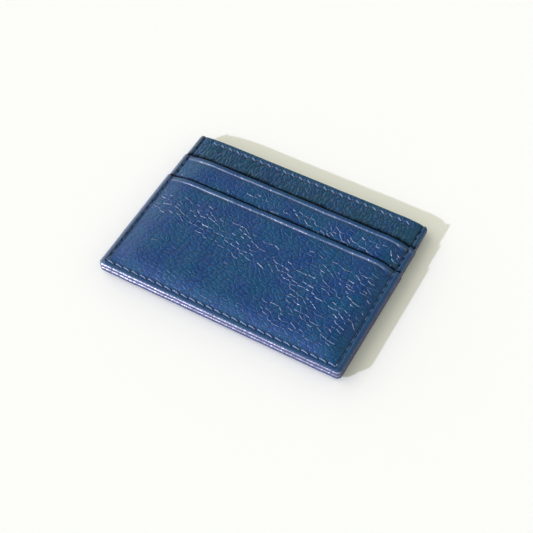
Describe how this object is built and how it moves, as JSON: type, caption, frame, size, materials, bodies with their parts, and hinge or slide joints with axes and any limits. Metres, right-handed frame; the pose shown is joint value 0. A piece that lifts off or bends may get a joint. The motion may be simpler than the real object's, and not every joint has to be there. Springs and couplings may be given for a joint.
{
  "type": "card holder",
  "caption": "Flat leather card holder with stepped card pockets on both faces and an open-topped centre compartment, stitched and edge painted.",
  "frame": {"origin": "middle of the flat face the holder lies on", "axes": "+X across the width to the right as seen from the front, +Y towards the pocket mouths, +Z out of the front face"},
  "size_m": [0.1, 0.0724, 0.0076],
  "materials": {
    "leather": "pebbled full-grain leather, navy blue, semi-matte",
    "lining": "thin woven lining, dark navy",
    "board": "bonded fibre stiffener",
    "edge_paint": "glossy navy edge paint",
    "thread": "waxed polyester sewing thread, navy"
  },
  "bodies": {
    "holder": {"back_body_panel": "leather", "back_body_lining": "lining", "back_board": "board", "front_board": "board", "front_edge_paint": "edge_paint", "back_edge_paint": "edge_paint", "back_top_thread": "thread", "front_pocket_base_thread": "thread", "back_pocket_base_thread": "thread", "seam_needle_thread": "thread", "seam_bobbin_thread": "thread"},
    "front_half": {"front_body_panel": "leather", "front_body_lining": "lining", "front_top_thread": "thread"},
    "front_upper": {"front_upper_pocket": "leather", "front_upper_pocket_lining": "lining"},
    "front_lower": {"front_lower_pocket": "leather", "front_lower_pocket_lining": "lining"},
    "back_upper": {"back_upper_pocket": "leather", "back_upper_pocket_lining": "lining"},
    "back_lower": {"back_lower_pocket": "leather", "back_lower_pocket_lining": "lining"}
  },
  "joints": [
    {"name": "compartment_mouth", "type": "hinge", "parent": "holder", "child": "front_half", "pos_m": [0, -0.0358, 0.00554], "axis": [1, 0, 0], "range_deg": [0, 2.5], "stiffness_Nm_per_rad": 0.02, "deforming": ["front_body_panel", "front_body_lining", "front_top_thread"]},
    {"name": "front_upper_mouth", "type": "hinge", "parent": "holder", "child": "front_upper", "pos_m": [0, -0.0358, 0.00554], "axis": [1, 0, 0], "range_deg": [0, 2.5], "stiffness_Nm_per_rad": 0.02, "deforming": ["front_upper_pocket", "front_upper_pocket_lining"]},
    {"name": "front_lower_mouth", "type": "hinge", "parent": "holder", "child": "front_lower", "pos_m": [0, -0.0358, 0.00554], "axis": [1, 0, 0], "range_deg": [0, 3.5], "stiffness_Nm_per_rad": 0.02, "deforming": ["front_lower_pocket", "front_lower_pocket_lining"]},
    {"name": "back_upper_mouth", "type": "hinge", "parent": "holder", "child": "back_upper", "pos_m": [0, -0.0358, 0.00084], "axis": [-1, 0, 0], "range_deg": [0, 2.5], "stiffness_Nm_per_rad": 0.02, "deforming": ["back_upper_pocket", "back_upper_pocket_lining"]},
    {"name": "back_lower_mouth", "type": "hinge", "parent": "holder", "child": "back_lower", "pos_m": [0, -0.0358, 0.00084], "axis": [-1, 0, 0], "range_deg": [0, 3.5], "stiffness_Nm_per_rad": 0.02, "deforming": ["back_lower_pocket", "back_lower_pocket_lining"]}
  ]
}
